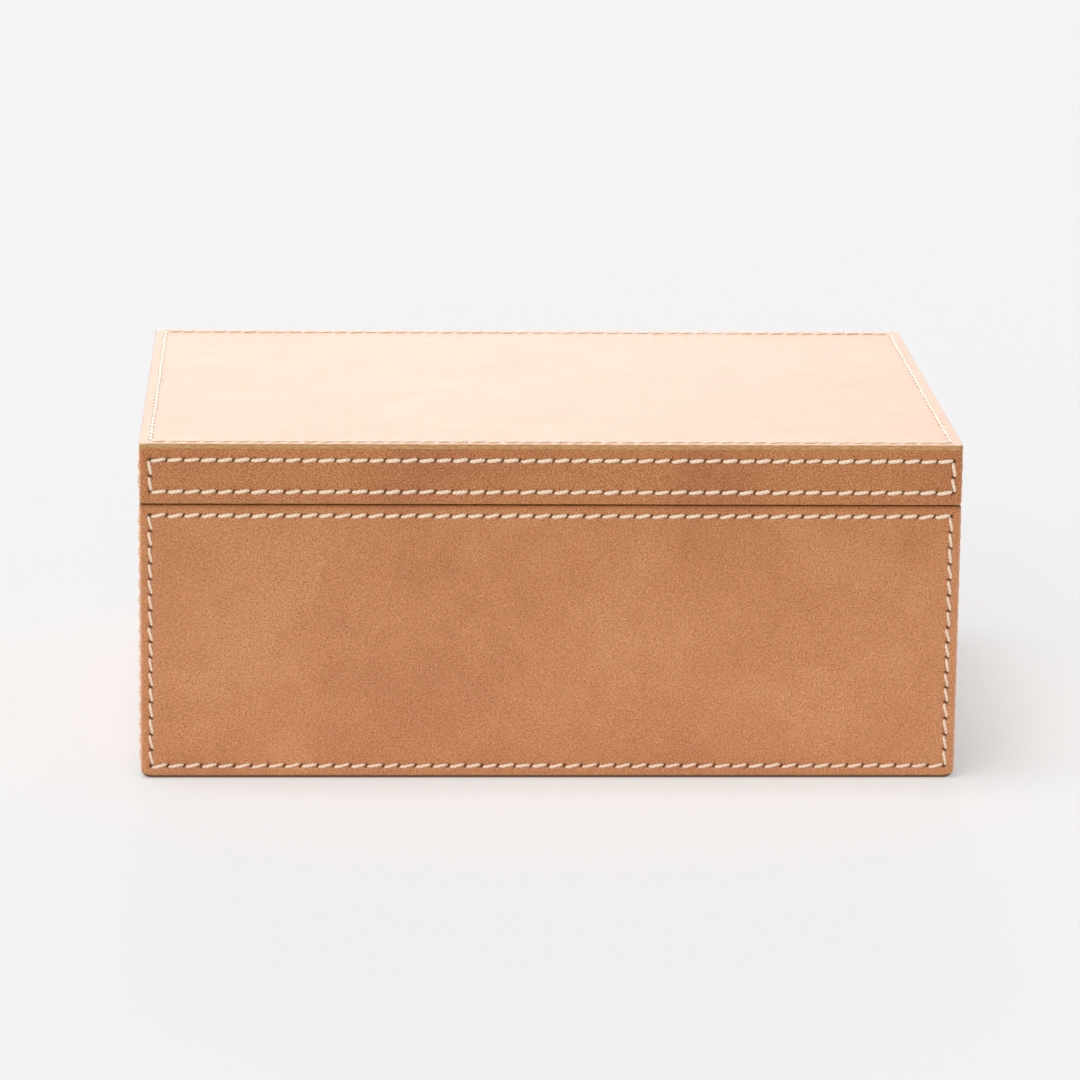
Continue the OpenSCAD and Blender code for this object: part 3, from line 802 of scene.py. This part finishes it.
stitchShape = {
    "longest": 6.55,         # longest spacing of the holes
    "drift": 0.35,
    "driftWaves": 3,
    "driftRise": 6.0,        # how soon the holes may drift, away from a fixed end
    "waver": 0.16,
    "halfWidth": 0.73,
    "halfThickness": 0.47,
    "endShare": 0.6,         # share of both that is left at the ends
    "crown": 0.06,           # height of the thread's middle over the leather
    "dive": 0.62,            # depth to which the ends go into the holes
    "gap": 1.2,              # how far the ends of neighbouring stitches stay apart
    "beginShare": 0.26,      # shares of the gap
    "finishShare": 0.28,
    "sides": 8,
    "rings": (0.0, 0.09, 0.26, 0.5, 0.74, 0.91, 1.0),     # places along a stitch
    "archPower": 0.42,
    "leans": (0.72, 1.28),   # spreads of the single stitches, from here on
    "widths": (0.92, 1.07),
    "gaps": (-0.1, 0.12),
    "slide": 0.10,
    "rise": 0.03,
}


# Evenly spaced holes that drift slowly and waver a little between two fixed ends
def seamHoles(first, last, shape, draw):
    count = math.ceil((last - first) / shape["longest"] - 1e-6)
    t = np.linspace(0, 1, count + 1)
    phase = draw.uniform(0, 2 * math.pi, shape["driftWaves"])
    slow = sum(np.sin(2 * math.pi * k * t + start) / k for k, start in enumerate(phase, 1))
    held = np.minimum(1.0, shape["driftRise"] * np.minimum(t, 1 - t))
    waver = draw.uniform(-shape["waver"], shape["waver"], count + 1)
    return first + (last - first) * t + held * (shape["drift"] * slow + waver)


# Holes of the run of stitches round a panel
def makeSeam(piece):
    draw = np.random.default_rng(piece["seed"] + seeds["seam"])
    spanU, spanV = faceSpan(piece["node"], piece["faces"])[1][:2]
    left, right, bottom, top = piece["ring"]
    return {
        "holesU": seamHoles(spanU[0] + left, spanU[1] - right, stitchShape, draw),
        "holesV": seamHoles(spanV[0] + bottom, spanV[1] - top, stitchShape, draw),
    }


# UV map of the thread: metres along a stitch, and turns round it, which end at 1 on the last side
def addLayMap(mesh, along, sides):
    count, rings = along.shape
    layAlong = np.broadcast_to((along * mm)[:, :, None], (count, rings, sides)).ravel()
    layRound = np.broadcast_to(np.arange(sides) / sides, (count, rings, sides)).ravel()
    corner = np.empty(len(mesh.loops), np.int32)
    mesh.loops.foreach_get("vertex_index", corner)
    uv = np.column_stack([layAlong[corner], layRound[corner]])
    quadUv = uv[:count * (rings - 1) * sides * 4].reshape(count, rings - 1, sides, 4, 2)
    quadUv[:, :, -1, 1:3, 1] = 1.0
    layer = mesh.uv_layers.new(name="lay")
    layer.data.foreach_set("uv", uv.astype(np.float32).ravel())


# Stitches of a seam as closed bows of thread. Along a stitch t goes from 0 to 1: the middle line runs from
# hole to hole, leans across by -lean * cos(pi t), and rises by sin(pi t)^power; the section is an ellipse
def makeStitches(name, piece, seam):
    draw = np.random.default_rng(piece["seed"] + seeds["stitches"])
    shape = dict(stitchShape, **piece.get("bow", {}))
    axes, (spanU, spanV, spanW) = faceSpan(piece["node"], piece["faces"])
    u, v = seam["holesU"], seam["holesV"]
    low, high = np.full(len(u) - 1, v[0]), np.full(len(u) - 1, v[-1])
    west, east = np.full(len(v) - 1, u[0]), np.full(len(v) - 1, u[-1])
    starts = np.vstack([
        np.column_stack([u[:-1], low]), np.column_stack([east, v[:-1]]),
        np.column_stack([u[1:], high]), np.column_stack([west, v[1:]])])
    stops = np.vstack([
        np.column_stack([u[1:], low]), np.column_stack([east, v[1:]]),
        np.column_stack([u[:-1], high]), np.column_stack([west, v[:-1]])])
    sizes = [len(low), len(east), len(high), len(west)]
    count = len(starts)
    travel = stops - starts
    length = np.hypot(travel[:, 0], travel[:, 1])
    travel = travel / length[:, None]
    inward = np.column_stack([-travel[:, 1], travel[:, 0]])
    lean = np.repeat(piece["lean"], sizes) * draw.uniform(*shape["leans"], count)
    slide = draw.uniform(-shape["slide"], shape["slide"], count)
    width = shape["halfWidth"] * draw.uniform(*shape["widths"], count)
    width = width * np.repeat(piece["threadWidth"], sizes)
    rise = draw.uniform(-shape["rise"], shape["rise"], count)
    begin = shape["gap"] * (shape["beginShare"] + draw.uniform(*shape["gaps"], count))
    finish = shape["gap"] * (shape["finishShare"] + draw.uniform(*shape["gaps"], count))
    t = np.array(shape["rings"])
    arch = np.sin(math.pi * t) ** shape["archPower"]
    arch[[0, -1]] = 0
    along = begin[:, None] + (length - begin - finish)[:, None] * t
    across = -lean[:, None] * np.cos(math.pi * t) + slide[:, None]
    height = rise[:, None] + shape["crown"] + (arch - 1) * (shape["crown"] + shape["dive"])
    section = shape["endShare"] + (1 - shape["endShare"]) * arch
    halfWidth = width[:, None] * section
    halfThick = shape["halfThickness"] * section
    angle = np.linspace(0, 2 * math.pi, shape["sides"], endpoint=False)
    sideways = across[:, :, None] + halfWidth[:, :, None] * np.cos(angle)
    upward = height[:, :, None] + halfThick[None, :, None] * np.sin(angle)
    flat = starts[:, None, None, :] + travel[:, None, None, :] * along[:, :, None, None]
    flat = flat + inward[:, None, None, :] * sideways[..., None]
    points = onFace(axes, flat[..., 0], flat[..., 1], spanW[1] + upward)
    index = np.arange(upward.size).reshape(upward.shape)
    beside = np.roll(index, -1, axis=2)
    quads = np.stack([index[:, :-1], beside[:, :-1], beside[:, 1:], index[:, 1:]], -1).reshape(-1, 4)
    caps = np.concatenate([index[:, 0, ::-1], index[:, -1]])
    mesh = buildMesh(name, points.reshape(-1, 3), quads.tolist() + caps.tolist())
    addLayMap(mesh, along, shape["sides"])
    return mesh


# Cover panels, by body and side. Four values stand for left, right, bottom and top in edges, and in ring,
# the distances of the stitches from the edges; for bottom left, bottom right, top right and top left in
# corners; and for bottom, right, top and left in lean and threadWidth

baseWall = {
    # tone: painted shade, darker towards the top and along the seam
    "tone": (1.01, 0.92, 60.0, 0.55),
    "corners": (0.6, 0.6, 0.6, 0.6),
    "ring": (3.9, 3.9, 4.9, 4.2),
    "lean": (0.48, 0.50, 0.44, 0.50),
    "threadWidth": (0.88, 0.82, 0.96, 0.82),
}
lidWall = {
    # tone: the lid's walls darker, as painted shade, and a little paler along the top, as painted light
    "tone": (0.815, 0.815, 10.0, -0.03),
    "grain": 1.2,
    "corners": (0.6, 0.6, 0.6, 0.6),
    "ring": (3.9, 3.9, 4.7, 4.5),
    "lean": (0.38, 0.5, 0.40, 0.5),
    "threadWidth": (1.0, 0.92, 1.0, 0.92),
}
sideBow = {"crown": 0.42}     # the side stitches stand out, as the outline in the photo shows
covers = {
    "base_front": dict(
        baseWall, edges=("soft", "soft", "foot", "baseSeam"), foldHighlight=(0.5, 0.0),
        corners=(4.2, 4.2, 0.9, 0.9), ring=(4.1, 3.9, 4.9, 4.2)),
    "base_back": dict(
        baseWall, edges=("soft", "soft", "foot", "hingeSeam"), foldHighlight=(0.5, 0.0),
        corners=(4.2, 4.2, 1.3, 1.3)),
    "base_left": dict(baseWall, edges=("corner", "corner", "sideFoot", "baseSeam"), bow=sideBow),
    "base_right": dict(baseWall, edges=("corner", "corner", "sideFoot", "baseSeam"), bow=sideBow),
    "lid_front": dict(
        lidWall, edges=("soft", "soft", "lidSeam", "plain"), foldHighlight=(0.5, 0.0),
        corners=(1.2, 1.2, 0.6, 0.6), ring=(4.2, 3.4, 4.7, 4.5), lean=(0.34, 0.5, 0.33, 0.5)),
    "lid_back": dict(
        lidWall, edges=("soft", "soft", "hingeSeam", "plain"), foldHighlight=(0.5, 0.0),
        corners=(1.3, 1.3, 0.6, 0.6)),
    "lid_left": dict(lidWall, edges=("corner", "corner", "lidSeam", "plain"), bow=sideBow),
    "lid_right": dict(lidWall, edges=("corner", "corner", "lidSeam", "plain"), bow=sideBow),
    "lid_top": {
        # tone: paler than the walls, as painted light
        "tone": (1.03, 1.03, 1.0, 0.0),
        "grain": 0.5,
        "edges": ("topSide", "topSide", "topFront", "topFront"),
        "foldHighlight": (0.6, 0.4),
        "corners": (1.2, 1.2, 1.2, 1.2),
        "ring": (4.2, 4.2, 4.6, 4.6),
        "lean": (0.42, 0.32, 0.42, 0.32),
        "threadWidth": (1.0, 1.0, 1.0, 1.0),
        "relief": {"channelDepth": 0.04, "pitDepth": 0.12, "pitShade": 0.12},
        "bow": {"gap": 0.45, "dive": 0.36, "halfThickness": 0.42},
        "nearHoles": (-0.6, 0.0, 0.6),
    },
    "base_bottom": {
        "tone": (0.95, 0.95, 1.0, 0.0),
        "edges": ("bottomSide", "bottomSide", "plain", "plain"),
        "corners": (1.8, 1.8, 1.8, 1.8),
        "plain": 4.0,
    },
}
seeds = {"cover": 11, "coverStep": 7, "seam": 50, "stitches": 90, "lining": 200, "rim": 300}

barrelRoom = {
    "radius": 2.3,           # of a hinge's barrel, with its clearance
    "clearance": 0.3,        # past each end of a hinge's pin
    "pins": ("left_hinge_pin", "right_hinge_pin"),
    "sides": 40,
}


# Cylinders along X, (radius cos(angle), radius sin(angle)) round the hinge axis, to cut room for the barrels
def makeBarrelCutter(room):
    angle = np.linspace(0, 2 * math.pi, room["sides"], endpoint=False)
    hinge = next(joint for joint in frame["joints"] if joint["name"] == "lid_hinge")
    axisY, axisZ = np.array(hinge["pos_m"][1:]) / mm
    ringY = axisY + room["radius"] * np.cos(angle)
    ringZ = axisZ + room["radius"] * np.sin(angle)
    points, faces = [], []
    for number, pin in enumerate(room["pins"]):
        pinEnds = np.round([corner[0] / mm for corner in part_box(pin)], 3)
        ends = pinEnds + np.array([-1, 1]) * room["clearance"]
        points.append(np.stack(np.broadcast_arrays(ends[:, None], ringY, ringZ), -1).reshape(-1, 3))
        index = np.arange(2 * len(angle)).reshape(2, -1) + 2 * len(angle) * number
        beside = np.roll(index, -1, axis=1)
        faces += np.stack([index[0], beside[0], beside[1], index[1]], -1).tolist()
        faces += [index[0, ::-1].tolist(), index[1].tolist()]
    points = np.vstack(points)
    mesh = buildMesh("barrelRoom", points, faces, {"edge": np.ones(len(points))})
    cutter = bpy.data.objects.new("barrelRoom", mesh)
    bpy.context.scene.collection.objects.link(cutter)
    return cutter


def cutAway(mesh, cutter):
    name = mesh.name
    holder = bpy.data.objects.new("cutting", mesh)
    bpy.context.scene.collection.objects.link(holder)
    cut = holder.modifiers.new("room", "BOOLEAN")
    cut.operation = "DIFFERENCE"
    cut.solver = "MANIFOLD"
    cut.object = cutter
    bpy.context.view_layer.update()
    made = bpy.data.meshes.new_from_object(holder.evaluated_get(bpy.context.evaluated_depsgraph_get()))
    bpy.data.objects.remove(holder)
    bpy.data.meshes.remove(mesh)
    made.name = name
    made.materials.clear()
    return made


cutter = makeBarrelCutter(barrelRoom)
for number, (panel, piece) in enumerate(covers.items()):
    body, side = panel.split("_")
    piece["node"] = panel + "_leather"
    piece["faces"] = side
    piece["seed"] = seeds["cover"] + seeds["coverStep"] * number
    seam = makeSeam(piece) if "ring" in piece else None
    mesh = makePanel(panel + "_cover", piece, seam)
    if side == "back":
        mesh = cutAway(mesh, cutter)
    placePiece(mesh, leather, body, piece["node"])
    if seam:
        sewn = makeStitches(panel + "_stitches", piece, seam)
        placePiece(sewn, thread, body, panel + "_stitching")
    print("stage: {} with {} faces".format(mesh.name, len(mesh.polygons)))
bpy.data.objects.remove(cutter)


# Linings and rim strips, each facing into the box or across the seam

liningShape = {"edges": ("lining",) * 4, "corners": (0.4,) * 4, "plain": 5.0, "rings": 3}
rimShape = {"edges": ("strip",) * 4, "corners": (0.6,) * 4, "plain": 3.0, "rings": 3}
facingIn = {"front": "back", "back": "front", "left": "right", "right": "left", "floor": "top",
            "ceiling": "bottom"}
for body, flat in (("base", "floor"), ("lid", "ceiling")):
    for number, side in enumerate((flat, "front", "back", "left", "right")):
        node = "{}_{}_lining".format(body, side)
        piece = dict(liningShape, node=node, faces=facingIn[side], seed=seeds["lining"] + number)
        placePiece(makePanel(node + "_suede", piece), suede, body, node)
    for number, side in enumerate(("front", "back", "left", "right")):
        node = "{}_{}_rim".format(body, side)
        piece = dict(rimShape, node=node, faces=facingIn[flat], seed=seeds["rim"] + number)
        placePiece(makePanel(node + "_strip", piece), rimLeather, body, node)
print("stage: linings and rim strips made")

# Boards, hinges and screws keep their solids and get their finish here

for name, node in frame["nodes"].items():
    finish = board if name.endswith("_board") else brass if "hinge" in name else None
    if finish:
        for slot in node.material_slots:
            slot.material = finish
print("stage: boards and hinges finished")


# Floor, lamps and surroundings

studio = {
    "backdrop": tint(243, 243, 243),
    "surroundings": 0.30,
    "floor": (0.859, 0.861, 0.864, 1.0),     # a little cool, against the warm light that the leather throws
    "floorReach": 9.0,       # metres to each side
    "floorHeight": -0.0001,
    "glow": 0.97,
    "glowShare": 0.345,      # share of the camera's view of the floor that no shadow reaches
}
lamps = {
    # name: azimuth from which the light comes (0 is behind the box, 90 is its right), elevation, angle of
    # the lamp's disc, strength
    "topLamp": (-95, 80, 34, 1.57),
    "leftLamp": (-100, 10, 40, 0.25),
    "frontLamp": (-161, 20, 50, 1.25),
    "backLamp": (0.3, 14, 26, 0.85),
}
white = (1.0, 1.0, 1.0, 1.0)


def makeFloor(look):
    reach = look["floorReach"]
    corners = [(x, y, look["floorHeight"]) for x, y in (
        (-reach, -reach), (reach, -reach), (reach, reach), (-reach, reach))]
    mesh = bpy.data.meshes.new("floor")
    mesh.from_pydata(corners, [], [(0, 1, 2, 3)])
    floor = bpy.data.objects.new("floor", mesh)
    bpy.context.scene.collection.objects.link(floor)
    material, tree = newMaterial("paleFloor")
    matte = addNode(tree, "ShaderNodeBsdfDiffuse", {"Color": look["floor"]})
    glow = addNode(tree, "ShaderNodeEmission", {"Color": white, "Strength": look["glow"]})
    share = calc(tree, "MULTIPLY", seenByCamera(tree), look["glowShare"])
    both = addNode(tree, "ShaderNodeMixShader", {0: share, 1: matte.outputs[0], 2: glow.outputs[0]})
    addNode(tree, "ShaderNodeOutputMaterial", {"Surface": both.outputs[0]})
    mesh.materials.append(material)


def makeSurroundings(look):
    world = bpy.data.worlds.new("surroundings")
    bpy.context.scene.world = world
    world.use_nodes = True
    tree = world.node_tree
    tree.nodes.clear()
    light = addNode(tree, "ShaderNodeBackground", {"Color": white, "Strength": look["surroundings"]})
    backdrop = addNode(tree, "ShaderNodeBackground", {"Color": look["backdrop"], "Strength": 1.0})
    both = addNode(tree, "ShaderNodeMixShader", {
        0: seenByCamera(tree), 1: light.outputs[0], 2: backdrop.outputs[0]})
    addNode(tree, "ShaderNodeOutputWorld", {"Surface": both.outputs[0]})


def makeLamp(name, azimuth, elevation, angle, strength):
    lamp = bpy.data.objects.new(name, bpy.data.lights.new(name, "SUN"))
    lamp.data.energy = strength
    lamp.data.angle = math.radians(angle)
    # a sun shines along its own -Z: lean it back from straight down, then turn it
    lamp.rotation_euler = (math.radians(elevation - 90), 0.0, -math.radians(azimuth))
    bpy.context.scene.collection.objects.link(lamp)


makeFloor(studio)
makeSurroundings(studio)
for name, lamp in lamps.items():
    makeLamp(name, *lamp)
print("stage: floor and lamps made")
